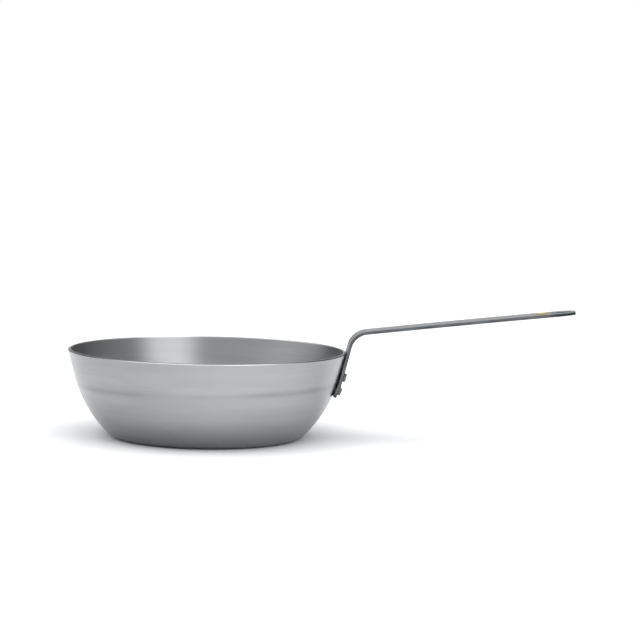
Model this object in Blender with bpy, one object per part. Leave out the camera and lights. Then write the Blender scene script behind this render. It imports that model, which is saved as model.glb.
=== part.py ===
"""Country frying pan: a deep pressed bowl of bare carbon steel with a riveted flat strap handle.

Units are metres and +Z is up. The origin is the centre of the bowl's flat underside, and the handle
points along +X. The bowl is one turned solid, the handle one bent steel blank, three solid rivets
hold them together, and a small moulded plug fills a round hole near the handle's end.
"""

import math

import bmesh
import bpy
import numpy as np
from mathutils import Matrix, Vector

MM = 0.001

# Bowl, measured on the outside of the sheet
RIM_RADIUS = 140.0 * MM
BOWL_HEIGHT = 88.0 * MM
SHEET = 2.5 * MM
WALL_LEAN = math.radians(14.6)
STRAIGHT_WALL = 27.5 * MM
BELLY_RADIUS = 124.0 * MM
CORNER_RADIUS = 17.0 * MM
RIM_EASING = 0.35 * MM
BOWL_STEPS = 80
BELLY_STEPS = 6
CORNER_STEPS = 5

# Strap handle, one steel strip: a foot and leg along the wall, a bend and a long arm
STRAP = 3.0 * MM
LEG_ON_WALL = 46.0 * MM
LEG_ABOVE_RIM = 6.5 * MM
BEND_INSIDE_RADIUS = 18.0 * MM
ARM_START_RISE = math.radians(6.7)
ARM_CROWN_RADIUS = 20.0
TIP_REACH = 371.6 * MM
FOOT_HALF_WIDTH = 24.0 * MM
ARM_HALF_WIDTH = 14.8 * MM
TAPER_LENGTH = 56.0 * MM
TAPER_POWER = 1.15
FOOT_CORNER = 6.0 * MM
FOOT_CURL = 0.35
STRAP_EASING = 0.35 * MM
STRAP_COLUMNS = 9

# Hanging slot and moulded plug near the tip
SLOT_START = 346.6 * MM
SLOT_END = 366.6 * MM
SLOT_WIDTH = 11.0 * MM
PLUG_X = 337.7 * MM
PLUG_BODY_RADIUS = 5.0 * MM
PLUG_FLANGE_RADIUS = 6.2 * MM
PLUG_FLANGE = 0.5 * MM

# Rivets: distance down the wall from the rim, and sideways from the handle's middle
UPPER_RIVET_DOWN = 26.1 * MM
LOWER_RIVET_DOWN = 39.0 * MM
LOWER_RIVET_ASIDE = 13.0 * MM
UPPER_BUTTON = {"radius": 4.4 * MM, "height": 3.7 * MM}
LOWER_BUTTON = {"radius": 3.9 * MM, "height": 2.5 * MM}
BUTTON_CHAMFER = 0.9 * MM
SHANK_RADIUS = 2.5 * MM
DOME_RADIUS = 5.5 * MM
DOME_HEIGHT = 1.9 * MM
DOME_EDGE = 0.5 * MM
RIVET_STEPS = 24

# Touching pieces keep this gap
GAP = 0.3 * MM

UP = Vector((0, 0, 1))


def clear_scene():
    for obj in list(bpy.data.objects):
        bpy.data.objects.remove(obj, do_unlink=True)


def finish_material(name, colour, roughness, metallic):
    """A Principled material with one colour, roughness and metallic value."""
    material = bpy.data.materials.new(name)
    material.use_nodes = True
    shader = material.node_tree.nodes["Principled BSDF"]
    shader.inputs["Base Color"].default_value = (*colour, 1)
    shader.inputs["Roughness"].default_value = roughness
    shader.inputs["Metallic"].default_value = metallic
    return material


def add_object(name, mesh, material=None):
    obj = bpy.data.objects.new(name, mesh)
    bpy.context.scene.collection.objects.link(obj)
    if material:
        mesh.materials.append(material)
    return obj


def mesh_from(name, work):
    """Writes a bmesh into a new smooth-shaded mesh whose real corners stay sharp."""
    bmesh.ops.recalc_face_normals(work, faces=work.faces)
    mesh = bpy.data.meshes.new(name)
    work.to_mesh(mesh)
    work.free()
    mesh.shade_smooth()
    mesh.set_sharp_from_angle(angle=math.radians(35))
    return mesh


def turned_mesh(name, profile, steps):
    """Spins an open profile of (radius, height) points, which starts and ends on the axis."""
    work = bmesh.new()
    points = [work.verts.new((radius, 0, height)) for radius, height in profile]
    lines = [work.edges.new(pair) for pair in zip(points, points[1:])]
    bmesh.ops.spin(
        work,
        geom=points + lines,
        cent=(0, 0, 0),
        axis=UP,
        angle=2 * math.pi,
        steps=steps,
        use_merge=True,
    )
    bmesh.ops.remove_doubles(work, verts=work.verts, dist=1e-6)
    return mesh_from(name, work)


def add_cutter(name, mesh, matrix):
    """A hidden helper that a Boolean takes away."""
    cutter = add_object(name, mesh)
    cutter.matrix_world = matrix
    cutter.hide_render = True
    cutter.display_type = "WIRE"
    return cutter


def cut(obj, cutter):
    boolean = obj.modifiers.new(f"Cut {cutter.name}", "BOOLEAN")
    boolean.operation = "DIFFERENCE"
    boolean.solver = "EXACT"
    boolean.object = cutter


def ease_edges(obj, width):
    """Breaks the sharp edges, as a deburring wheel does."""
    bevel = obj.modifiers.new("Eased edges", "BEVEL")
    bevel.width = width
    bevel.segments = 2
    bevel.limit_method = "ANGLE"
    bevel.angle_limit = math.radians(55)


# The wall is a curve in the plane of radius and height, followed by distance down from the rim

BELLY_CENTRE_RADIUS = RIM_RADIUS - STRAIGHT_WALL * math.sin(WALL_LEAN) - BELLY_RADIUS * math.cos(WALL_LEAN)
BELLY_CENTRE_HEIGHT = BOWL_HEIGHT - STRAIGHT_WALL * math.cos(WALL_LEAN) + BELLY_RADIUS * math.sin(WALL_LEAN)
BELLY_END_LEAN = math.asin((BELLY_CENTRE_HEIGHT - CORNER_RADIUS) / (BELLY_RADIUS - CORNER_RADIUS))


def wall_point(down):
    """Outer wall at a distance down from the rim: (radius, height, lean from the vertical)."""
    if down <= STRAIGHT_WALL:
        radius = RIM_RADIUS - down * math.sin(WALL_LEAN)
        return radius, BOWL_HEIGHT - down * math.cos(WALL_LEAN), WALL_LEAN
    lean = WALL_LEAN + (down - STRAIGHT_WALL) / BELLY_RADIUS
    radius = BELLY_CENTRE_RADIUS + BELLY_RADIUS * math.cos(lean)
    return radius, BELLY_CENTRE_HEIGHT - BELLY_RADIUS * math.sin(lean), lean


def arc(centre, radius, start, end, steps):
    """Points on an arc whose angle is the wall's lean, from the first lean to the last."""
    return [
        (centre[0] + radius * math.cos(lean), centre[1] - radius * math.sin(lean))
        for lean in np.linspace(start, end, steps + 1)
    ]


def wall_side(inset):
    """The bowl's side from the rim down to the flat base, moved in by inset from the outer face."""
    belly_centre = (BELLY_CENTRE_RADIUS, BELLY_CENTRE_HEIGHT)
    reach = BELLY_RADIUS - CORNER_RADIUS
    corner_centre = (
        BELLY_CENTRE_RADIUS + reach * math.cos(BELLY_END_LEAN),
        CORNER_RADIUS,
    )
    rim = (RIM_RADIUS - inset / math.cos(WALL_LEAN), BOWL_HEIGHT)
    belly = arc(belly_centre, BELLY_RADIUS - inset, WALL_LEAN, BELLY_END_LEAN, BELLY_STEPS)
    corner = arc(corner_centre, CORNER_RADIUS - inset, BELLY_END_LEAN, math.pi / 2, CORNER_STEPS)
    return [rim] + belly + corner[1:]


def sagitta(curvature, y):
    """How far a round surface falls back from its crown at a distance y to the side."""
    if not curvature:
        return 0
    return (1 - math.sqrt(1 - (curvature * y) ** 2)) / curvature


def foot_curvature(down):
    """The foot's plan curvature: a share of the wall's at the foot, and none from the upper rivet up."""
    radius, _, _ = wall_point(down)
    share = max(down - UPPER_RIVET_DOWN, 0) / (LEG_ON_WALL - UPPER_RIVET_DOWN)
    return FOOT_CURL * share / radius


def rivet_seats():
    """Each rivet's frame, button and the clearance that the strap leaves at its wall.

    The origin is on the outer wall. The axis lies halfway between the wall's normal and the strap's.
    """
    places = {
        "rivet_upper": (UPPER_RIVET_DOWN, 0, UPPER_BUTTON),
        "rivet_lower_front": (LOWER_RIVET_DOWN, -LOWER_RIVET_ASIDE, LOWER_BUTTON),
        "rivet_lower_rear": (LOWER_RIVET_DOWN, LOWER_RIVET_ASIDE, LOWER_BUTTON),
    }
    seats = {}
    for name, (down, aside, button) in places.items():
        radius, height, lean = wall_point(down)
        turn = math.asin(aside / radius) / 2
        across = Vector((math.cos(turn), math.sin(turn), 0))
        outward = across * math.cos(lean) - UP * math.sin(lean)
        frame = outward.to_track_quat("Z", "Y").to_matrix().to_4x4()
        fall = sagitta(1 / radius, aside)
        origin = Vector((radius - fall, aside, height))
        standoff = GAP + (fall - sagitta(foot_curvature(down), aside)) * math.cos(lean)
        tilt_room = button["radius"] * abs(math.tan(turn))
        seats[name] = (Matrix.Translation(origin) @ frame, button, standoff, tilt_room)
    return seats


def hole_cutter(name, matrix, radius, half_length):
    profile = [(0, -half_length), (radius, -half_length), (radius, half_length), (0, half_length)]
    return add_cutter(name, turned_mesh(name, profile, RIVET_STEPS), matrix)


def build_bowl(material, rivet_holes):
    outer = wall_side(0)
    inner = wall_side(SHEET)
    profile = [(0, 0)] + outer[::-1] + inner + [(0, SHEET)]
    bowl = add_object("pan_body", turned_mesh("pan_body", profile, BOWL_STEPS), material)
    ease_edges(bowl, RIM_EASING)
    for hole in rivet_holes:
        cut(bowl, hole)
    return bowl


# The strap is a flat blank carried along a path in the plane y = 0


def strap_path():
    """Stations on the strap's bowl-side face: (distance, x, z, angle of travel, plan curvature).

    The leg follows the wall's side view and touches it along the middle. Across its width the strip
    stays flat, apart from the foot, which is curled a little towards the round wall.
    """
    stations = []
    leg_downs = np.concatenate(
        [
            LEG_ON_WALL - FOOT_CORNER * (1 - np.cos(np.linspace(0, math.pi / 2, 6))),
            np.linspace(LEG_ON_WALL - FOOT_CORNER, 0, 10)[1:],
            [-LEG_ABOVE_RIM / 2],
        ]
    )
    for down in leg_downs:
        radius, height, lean = wall_point(down)
        x = radius + GAP * math.cos(lean)
        z = height - GAP * math.sin(lean)
        stations.append((LEG_ON_WALL - down, x, z, math.pi / 2 - lean, foot_curvature(down)))

    radius, height, lean = wall_point(-LEG_ABOVE_RIM)
    distance = LEG_ON_WALL + LEG_ABOVE_RIM
    x = radius + GAP * math.cos(lean)
    z = height - GAP * math.sin(lean)
    start = math.pi / 2 - lean
    bend_radius = BEND_INSIDE_RADIUS + STRAP
    centre_x = x + bend_radius * math.sin(start)
    centre_z = z - bend_radius * math.cos(start)
    for angle in np.linspace(start, ARM_START_RISE, 12):
        x = centre_x - bend_radius * math.sin(angle)
        z = centre_z + bend_radius * math.cos(angle)
        stations.append((distance + bend_radius * (start - angle), x, z, angle, 0))

    distance += bend_radius * (start - ARM_START_RISE)
    centre_x = x + ARM_CROWN_RADIUS * math.sin(ARM_START_RISE)
    centre_z = z - ARM_CROWN_RADIUS * math.cos(ARM_START_RISE)
    end_angle = math.asin((centre_x - TIP_REACH) / ARM_CROWN_RADIUS)
    arm_length = ARM_CROWN_RADIUS * (ARM_START_RISE - end_angle)
    round_end = ARM_HALF_WIDTH * np.sin(np.linspace(0, math.radians(84), 10))
    runs = np.concatenate(
        [np.linspace(0, arm_length - ARM_HALF_WIDTH, 9)[1:-1], arm_length - ARM_HALF_WIDTH + round_end]
    )
    for run in runs:
        angle = ARM_START_RISE - run / ARM_CROWN_RADIUS
        x = centre_x - ARM_CROWN_RADIUS * math.sin(angle)
        z = centre_z + ARM_CROWN_RADIUS * math.cos(angle)
        stations.append((distance + run, x, z, angle, 0))
    return stations, distance + arm_length


def half_width(distance, length):
    """Half the blank's width: a flared foot with round corners, a long taper and a round end."""
    taper = max(1 - distance / TAPER_LENGTH, 0) ** TAPER_POWER
    width = ARM_HALF_WIDTH + (FOOT_HALF_WIDTH - ARM_HALF_WIDTH) * taper
    if distance < FOOT_CORNER:
        width -= FOOT_CORNER - math.sqrt(max(FOOT_CORNER**2 - (FOOT_CORNER - distance) ** 2, 0))
    past = distance - (length - ARM_HALF_WIDTH)
    if past > 0:
        width = math.sqrt(max(ARM_HALF_WIDTH**2 - past**2, 0))
    return width


def arm_frame(reach):
    """Frame on the arm's top face above x = reach: X along the arm, Z out of the face."""
    stations, _ = strap_path()
    xs = [station[1] for station in stations]
    zs = [station[2] for station in stations]
    angles = [-station[3] for station in stations]
    arm = xs.index(min(xs, key=lambda x: abs(x - reach)))
    nearby = slice(arm - 3, arm + 4)
    z = float(np.interp(reach, xs[nearby], zs[nearby]))
    turn = float(np.interp(reach, xs[nearby], angles[nearby]))
    return Matrix.Translation((reach, 0, z)) @ Matrix.Rotation(turn, 4, "Y")


def strap_mesh():
    """A grid over the strap's bowl-side face, which becomes the top face of the arm."""
    stations, length = strap_path()
    work = bmesh.new()
    rows = []
    for distance, x, z, angle, curvature in stations:
        width = half_width(distance, length)
        row = []
        for y in np.linspace(-width, width, STRAP_COLUMNS):
            row.append(work.verts.new((x - sagitta(curvature, y), y, z)))
        rows.append(row)
    for low, high in zip(rows, rows[1:]):
        for i in range(STRAP_COLUMNS - 1):
            work.faces.new((low[i], high[i], high[i + 1], low[i + 1]))
    mesh = bpy.data.meshes.new("handle_strap")
    work.to_mesh(mesh)
    work.free()
    mesh.shade_smooth()
    return mesh


def slot_mesh():
    """A prism with round ends, which stands on the arm's face at the slot's middle."""
    half_run = (SLOT_END - SLOT_START - SLOT_WIDTH) / 2
    half_slot = SLOT_WIDTH / 2
    angles = np.linspace(-math.pi / 2, math.pi / 2, 13)
    outline = [(half_run + half_slot * math.cos(a), half_slot * math.sin(a)) for a in angles]
    outline += [(-x, -y) for x, y in outline]
    work = bmesh.new()
    face = work.faces.new([work.verts.new((x, y, -3 * STRAP)) for x, y in outline])
    grown = bmesh.ops.extrude_face_region(work, geom=[face])["geom"]
    top = [item for item in grown if isinstance(item, bmesh.types.BMVert)]
    bmesh.ops.translate(work, verts=top, vec=(0, 0, 6 * STRAP))
    return mesh_from("slot_cutter", work)


def build_strap(material, holes):
    strap = add_object("handle_strap", strap_mesh(), material)
    thickness = strap.modifiers.new("Strip thickness", "SOLIDIFY")
    thickness.thickness = STRAP
    thickness.offset = -1
    thickness.use_even_offset = True
    ease_edges(strap, STRAP_EASING)
    strap.modifiers.new("Flat faces for the cuts", "TRIANGULATE")
    for hole in holes:
        cut(strap, hole)
    return strap


def rivet_mesh(name, button, standoff, tilt_room):
    """Button head outside, plain shank through both sheets, low dome inside the bowl."""
    outer_seat = standoff + STRAP + GAP + tilt_room
    inner_seat = -(SHEET + GAP + tilt_room + sagitta(1 / BELLY_RADIUS, DOME_RADIUS))
    dome_rise = DOME_HEIGHT - DOME_EDGE
    dome_sphere = (DOME_RADIUS**2 + dome_rise**2) / (2 * dome_rise)
    dome = []
    for radius in np.linspace(0, DOME_RADIUS, 6):
        drop = dome_sphere - math.sqrt(dome_sphere**2 - radius**2)
        dome.append((radius, inner_seat - DOME_HEIGHT + drop))
    radius = button["radius"]
    top = outer_seat + button["height"]
    profile = dome + [
        (DOME_RADIUS, inner_seat),
        (SHANK_RADIUS, inner_seat),
        (SHANK_RADIUS, outer_seat),
        (radius, outer_seat),
        (radius, top - BUTTON_CHAMFER),
        (radius - BUTTON_CHAMFER, top),
        (0, top),
    ]
    return turned_mesh(name, profile, RIVET_STEPS)


def build_rivets(material, seats):
    for name, (matrix, button, standoff, tilt_room) in seats.items():
        mesh = rivet_mesh(name, button, standoff, tilt_room)
        add_object(name, mesh, material).matrix_world = matrix


def build_plug(material, frame):
    """A moulded plug: a body through the strip and a thin flange over each face."""
    top_seat = GAP
    bottom_seat = -(STRAP + GAP)
    profile = [
        (0, bottom_seat - PLUG_FLANGE),
        (PLUG_FLANGE_RADIUS, bottom_seat - PLUG_FLANGE),
        (PLUG_FLANGE_RADIUS, bottom_seat),
        (PLUG_BODY_RADIUS, bottom_seat),
        (PLUG_BODY_RADIUS, top_seat),
        (PLUG_FLANGE_RADIUS, top_seat),
        (PLUG_FLANGE_RADIUS, top_seat + PLUG_FLANGE),
        (0, top_seat + PLUG_FLANGE),
    ]
    plug = add_object("handle_inlay", turned_mesh("handle_inlay", profile, RIVET_STEPS), material)
    plug.matrix_world = frame


def main():
    clear_scene()
    bowl_steel = finish_material("bare_pressed_steel", (0.42, 0.43, 0.45), 0.38, 1.0)
    strip_steel = finish_material("bent_strip_steel", (0.30, 0.31, 0.31), 0.42, 1.0)
    rivet_steel = finish_material("cold_headed_rivet_steel", (0.26, 0.27, 0.27), 0.45, 1.0)
    yellow_resin = finish_material("yellow_moulded_resin", (0.62, 0.45, 0.12), 0.45, 0.0)

    seats = rivet_seats()
    hole_reach = SHEET + STRAP + 4 * GAP
    rivet_holes = [
        hole_cutter(f"cutter_{name}", seat[0], SHANK_RADIUS + GAP, hole_reach)
        for name, seat in seats.items()
    ]
    plug_frame = arm_frame(PLUG_X)
    plug_hole = hole_cutter("cutter_plug", plug_frame, PLUG_BODY_RADIUS + GAP, 3 * STRAP)
    slot = add_cutter("cutter_slot", slot_mesh(), arm_frame((SLOT_START + SLOT_END) / 2))

    build_bowl(bowl_steel, rivet_holes)
    build_strap(strip_steel, rivet_holes + [plug_hole, slot])
    build_rivets(rivet_steel, seats)
    build_plug(yellow_resin, plug_frame)


main()
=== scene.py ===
# %% [markdown]
# # A country frying pan
# A deep pan pressed from bare carbon steel, with a long flat handle riveted to its side. It has six
# pieces: the bowl, the strap handle, three solid rivets and a small yellow inlay near the hanging
# slot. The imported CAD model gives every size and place. This lesson builds each piece again as a
# finer surface and gives it the finish of the real thing.

# %% Load the frame
import math

import bmesh
import bpy
import numpy as np
from mathutils import Matrix, Vector


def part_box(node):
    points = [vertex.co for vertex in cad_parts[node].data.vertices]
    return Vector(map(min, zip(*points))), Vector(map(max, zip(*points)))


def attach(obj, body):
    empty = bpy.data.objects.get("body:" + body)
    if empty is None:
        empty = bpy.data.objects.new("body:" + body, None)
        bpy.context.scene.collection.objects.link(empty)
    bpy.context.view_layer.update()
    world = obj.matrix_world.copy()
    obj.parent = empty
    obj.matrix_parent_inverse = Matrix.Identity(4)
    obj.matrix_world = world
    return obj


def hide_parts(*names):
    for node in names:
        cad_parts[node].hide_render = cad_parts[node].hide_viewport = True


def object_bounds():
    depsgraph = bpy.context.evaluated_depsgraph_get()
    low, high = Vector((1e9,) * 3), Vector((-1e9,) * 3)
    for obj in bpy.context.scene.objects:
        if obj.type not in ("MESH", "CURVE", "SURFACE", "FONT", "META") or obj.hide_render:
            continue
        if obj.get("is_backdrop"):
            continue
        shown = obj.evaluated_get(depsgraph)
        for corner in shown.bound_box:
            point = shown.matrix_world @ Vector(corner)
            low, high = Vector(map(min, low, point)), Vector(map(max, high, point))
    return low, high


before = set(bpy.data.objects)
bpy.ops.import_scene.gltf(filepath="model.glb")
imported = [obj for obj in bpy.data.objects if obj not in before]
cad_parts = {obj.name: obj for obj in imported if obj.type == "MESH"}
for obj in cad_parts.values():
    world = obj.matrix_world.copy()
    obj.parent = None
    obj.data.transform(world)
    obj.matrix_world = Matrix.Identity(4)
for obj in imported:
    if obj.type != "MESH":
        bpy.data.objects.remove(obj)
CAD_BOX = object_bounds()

MM = 0.001
for name in sorted(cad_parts):
    low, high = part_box(name)
    print(name, "is", [round((b - a) / MM, 1) for a, b in zip(low, high)], "mm")

# %% [markdown]
# ## From arrays to a mesh
# Every piece here is one or more grids of points, worked out with numpy as whole arrays. A grid
# could also be drawn by hand, or grown with the Spin and Screw tools, but a formula keeps each size
# exact and easy to change. Two neighbouring rows and columns make a quad, which is split into two
# triangles. Where two grids meet they share the same points, so welding the points closes the
# surface.

# %% Grids to meshes
WELD = 1e-7


def grid_triangles(rows, columns, start):
    """Corner numbers of a grid's triangles: quad (i, j) joins points i, i+1 and j, j+1, halved."""
    index = start + np.arange(rows * columns).reshape(rows, columns)
    a, b = index[:-1, :-1].ravel(), index[1:, :-1].ravel()
    c, d = index[1:, 1:].ravel(), index[:-1, 1:].ravel()
    return np.concatenate([np.stack([a, b, c], 1), np.stack([a, c, d], 1)])


def closed_loop(points):
    """Repeats the first column at the end, so that the last column of quads closes the ring."""
    return np.concatenate([points, points[:, :1]], axis=1)


def piece_from_grids(name, grids, material, extras=None):
    """One closed mesh object from a list of (rows, columns, 3) arrays.

    Points closer than WELD become one, triangles that lose a corner by it are dropped, and the
    normals are turned outwards. extras gives named vectors, one per point of each grid, which the
    materials can read.
    """
    points = np.concatenate([grid.reshape(-1, 3) for grid in grids])
    starts = np.cumsum([0] + [grid.shape[0] * grid.shape[1] for grid in grids])
    faces = np.concatenate(
        [grid_triangles(*grid.shape[:2], start) for grid, start in zip(grids, starts)]
    )
    _, first, index = np.unique(
        np.round(points / WELD).astype(np.int64), axis=0, return_index=True, return_inverse=True
    )
    faces = index.reshape(-1)[faces]
    faces = faces[(faces != np.roll(faces, 1, axis=1)).all(axis=1)]
    points = points[first]
    mesh = bpy.data.meshes.new(name)
    mesh.from_pydata(points, [], faces)
    mesh.shade_smooth()
    for label, values in (extras or {}).items():
        stored = mesh.attributes.new(label, "FLOAT_VECTOR", "POINT")
        flat = np.concatenate([value.reshape(-1, 3) for value in values])[first]
        stored.data.foreach_set("vector", flat.ravel())
    mesh.materials.append(material)
    work = bmesh.new()
    work.from_mesh(mesh)
    bmesh.ops.recalc_face_normals(work, faces=work.faces)
    open_edges = sum(not edge.is_manifold for edge in work.edges)
    volume = work.calc_volume(signed=True)
    work.to_mesh(mesh)
    work.free()
    piece = bpy.data.objects.new(name, mesh)
    bpy.context.scene.collection.objects.link(piece)
    cubic_cm = round(volume * 1e6, 2)
    print(name, "has", len(faces), "triangles,", open_edges, "open edges,", cubic_cm, "cm3")
    return piece


SHORT_LINE_SHARE = 1 / 2.2  # an ease takes less than half of a short line


def eased(profile, ease, steps):
    """Rounds the inner corners of a profile, all by one ease or each by its own.

    Each corner P becomes the curve (1-t)^2 A + 2t(1-t) P + t^2 B, where A and B lie on the two
    lines that meet in P, one ease away from it or less where a line is short.
    """
    profile = np.asarray(profile, float)
    ease = np.reshape(ease, (-1, 1))
    before, corner, after = profile[:-2], profile[1:-1], profile[2:]
    to_before, to_after = before - corner, after - corner
    length_before = np.linalg.norm(to_before, axis=1, keepdims=True)
    length_after = np.linalg.norm(to_after, axis=1, keepdims=True)
    ease_before = np.minimum(ease, length_before * SHORT_LINE_SHARE)
    ease_after = np.minimum(ease, length_after * SHORT_LINE_SHARE)
    start = (corner + to_before / length_before * ease_before)[:, None]
    end = (corner + to_after / length_after * ease_after)[:, None]
    t = np.linspace(0, 1, steps + 1)[None, :, None]
    curves = (1 - t) ** 2 * start + 2 * t * (1 - t) * corner[:, None] + t**2 * end
    return np.concatenate([profile[:1], curves.reshape(-1, 2), profile[-1:]])


def turned(profile, segments):
    """Carries a (radius, height) profile round the Z axis: x = r cos a, y = r sin a, z = height."""
    angle = np.linspace(0, 2 * np.pi, segments, endpoint=False)[None, :]
    radius, height = profile[:, :1], profile[:, 1:]
    grid = [radius * np.cos(angle), radius * np.sin(angle), height + 0 * angle]
    return closed_loop(np.stack(grid, axis=-1))


def seated(grid, seat):
    """Moves points by a matrix: rotation times point, plus translation."""
    return grid @ np.array(seat.to_3x3()).T + np.array(seat.translation)


# %% [markdown]
# ## Adding nodes
# A procedural material is a small graph. One helper adds any node, so a finish reads as a short
# list of what feeds what. Colours are written as the sRGB hex values that a paint chart gives, and
# turned into the linear light values that the renderer works with.

# %% Node and colour helpers


def fill(tree, made, inputs):
    """Gives each named socket of a node its value, or a link from another node's output."""
    for key, value in inputs.items():
        if isinstance(value, bpy.types.NodeSocket):
            tree.links.new(value, made.inputs[key])
        else:
            made.inputs[key].default_value = value


def node(tree, kind, inputs=(), **settings):
    """Adds a shader node, sets its properties, fills its sockets and gives its outputs.

    inputs is a row of values and links in the sockets' order, or a dict by socket.
    """
    made = tree.nodes.new("ShaderNode" + kind)
    for key, value in settings.items():
        setattr(made, key, value)
    fill(tree, made, inputs if isinstance(inputs, dict) else dict(enumerate(inputs)))
    return made.outputs


def linear(hex_colour):
    """sRGB to linear: c / 12.92 below 0.04045, otherwise ((c + 0.055) / 1.055) to the power 2.4."""
    srgb = np.array([int(hex_colour[i : i + 2], 16) for i in (1, 3, 5)]) / 255
    light = np.where(srgb <= 0.04045, srgb / 12.92, ((srgb + 0.055) / 1.055) ** 2.4)
    return (*light.tolist(), 1.0)


def new_material(name):
    """An empty node material with its output and a Principled shader joined."""
    material = bpy.data.materials.new(name)
    material.use_nodes = True
    tree = material.node_tree
    return material, tree, tree.nodes["Principled BSDF"]


# %% [markdown]
# ## The bowl's steel
# The bowl is plain carbon steel, pressed from rolled sheet and then polished while it turns on a
# lathe. The polishing belt leaves fine rings round the wall. They scatter light up and down the
# wall, so a lamp shows as a tall soft streak, and the surface is neither mirror nor matt. A flat
# grey would look like paint. The rings could be an image, but noise stretched along the rings and
# squeezed across them gives the same look at any distance. The coordinate across the rings is
# radius plus height, which grows steadily from the middle of the base to the rim on this shape.
#
# Some of the colour is painted light and shade. The press's crease gets a line of painted shade, and
# so does the lowest part of the outside wall. The wall's front right side gets a painted highlight.
# The rim is sheared and then deburred: its edges get painted highlights, and the cut between them
# painted shade.

# %% Sizes of the bowl
RIM_RADIUS = 140.0 * MM
BOWL_HEIGHT = 88.0 * MM
SHEET = 2.5 * MM
WALL_LEAN = math.radians(14.6)
STRAIGHT_WALL = 27.5 * MM
BELLY_RADIUS = 124.0 * MM
CORNER_RADIUS = 17.0 * MM
RIM_OUTER_EASE = 1.1 * MM
RIM_INNER_EASE = 0.6 * MM

# %% Sizes of the belt's marks, the crease and the cut rim
RING_SPACING = 2.4 * MM  # drawn coarser than the belt's real grit, so that it shows
RING_LENGTH = 150 * MM
BROADER = (1.6, 1.6, 0.16)  # bands are shorter than rings, and much wider
PATCH_SIZE = 70 * MM
GRAIN_SIZE = 1.6 * MM
RING_BUMP = 0.004 * MM
PAINTED_HIGHLIGHT_SIDE = (0.33, -0.94, 0.0)  # the side that gets the painted highlight
CREASE_HEIGHT = 55.6 * MM
CREASE_TILT = 2.2 * MM
CREASE_SHADE_WIDTH = 2.9 * MM
# painted shade covers the outside wall below this height
SHADED_BELOW = 31 * MM
CUT_DROP = 1.4 * MM  # the rim's painted highlight and shade end this far below its top
CUT_SHADE_BAND = (0.7 * MM, 2.1 * MM)  # the painted shade on the cut, measured in from the rim's outer edge
CUT_FADE = 0.25 * MM
RIM_SIDES = (0.45 * RIM_RADIUS, 0.85 * RIM_RADIUS)  # between these the rim gets more painted shade
print("the belt's rings are", round(RING_SPACING / MM, 1), "mm apart")

# %% Pressed and lathe-polished carbon steel


def belt_marks(tree, place, z, radius):
    """Noise in four sizes: rings, broad bands along them, patches and grain.

    The rings' place is (x / ring length, y / ring length, (radius + z) / ring spacing).
    """
    x, y, _ = node(tree, "SeparateXYZ", (place,))
    across = node(tree, "Math", (radius, z), operation="ADD")[0]
    unscaled = node(tree, "CombineXYZ", (x, y, across))[0]
    stretch = (1 / RING_LENGTH, 1 / RING_LENGTH, 1 / RING_SPACING)
    ring_place = node(tree, "VectorMath", (unscaled, stretch), operation="MULTIPLY")[0]
    band_place = node(tree, "VectorMath", (ring_place, BROADER), operation="MULTIPLY")[0]
    kinds = (
        {"Vector": ring_place, "Scale": 1, "Detail": 3, "Roughness": 0.6},
        {"Vector": band_place, "Scale": 1, "Detail": 2},
        {"Vector": place, "Scale": 1 / PATCH_SIZE, "Detail": 4},
        {"Vector": place, "Scale": 1 / GRAIN_SIZE, "Detail": 2},
    )
    return [node(tree, "TexNoise", kind)[0] for kind in kinds]


def crease_painted_shade(tree, x, z, patches):
    """Painted shade along the crease: e to the power -(height above it / its width)^2, times
    patches.

    The crease rises by CREASE_TILT towards the handle.
    """
    rise = node(tree, "Math", (x, CREASE_TILT / RIM_RADIUS), operation="MULTIPLY")[0]
    level = node(tree, "Math", (z, rise), operation="SUBTRACT")[0]
    above = node(tree, "Math", (level, CREASE_HEIGHT), operation="SUBTRACT")[0]
    widths = node(tree, "Math", (above, CREASE_SHADE_WIDTH), operation="DIVIDE")[0]
    squared = node(tree, "Math", (widths, widths), operation="MULTIPLY")[0]
    bell = node(tree, "Math", (1 / math.e, squared), operation="POWER")[0]
    patchy = node(tree, "MapRange", (patches, 0.38, 0.6, 0.12, 0.4))[0]
    return node(tree, "Math", (bell, patchy), operation="MULTIPLY")[0]


def rim_painted_light(tree, x, radius):
    """Painted highlight on the edges and painted shade on the cut, and on the edges at the sides."""
    inward = node(tree, "Math", (RIM_RADIUS, radius), operation="SUBTRACT")[0]
    first, last = CUT_SHADE_BAND
    past_edge = node(tree, "MapRange", (inward, first, first + CUT_FADE, 0, 1))[0]
    before_inside = node(tree, "MapRange", (inward, last - CUT_FADE, last, 1, 0))[0]
    in_cut = node(tree, "Math", (past_edge, before_inside), operation="MULTIPLY")[0]
    sideways = node(tree, "Math", (x,), operation="ABSOLUTE")[0]
    at_sides = node(tree, "MapRange", (sideways, *RIM_SIDES, 0, 1))[0]
    on_edge = node(tree, "MapRange", (inward, first, first + CUT_FADE, 1, 0))[0]
    edge_shade_at_sides = node(tree, "Math", (at_sides, on_edge), operation="MULTIPLY")[0]
    # Painted shade on the cut, deeper at the sides
    cut_shade_tones = {0: at_sides, 6: linear("#616365"), 7: linear("#232426")}
    # Painted highlight on the edges, which gives way to painted shade at the sides
    edge_tones = {0: edge_shade_at_sides, 6: linear("#cdcecf"), 7: linear("#303133")}
    cut = node(tree, "Mix", cut_shade_tones, data_type="RGBA")[2]
    edge = node(tree, "Mix", edge_tones, data_type="RGBA")[2]
    return node(tree, "Mix", {0: in_cut, 6: edge, 7: cut}, data_type="RGBA")[2]


# %% The whole finish


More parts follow.
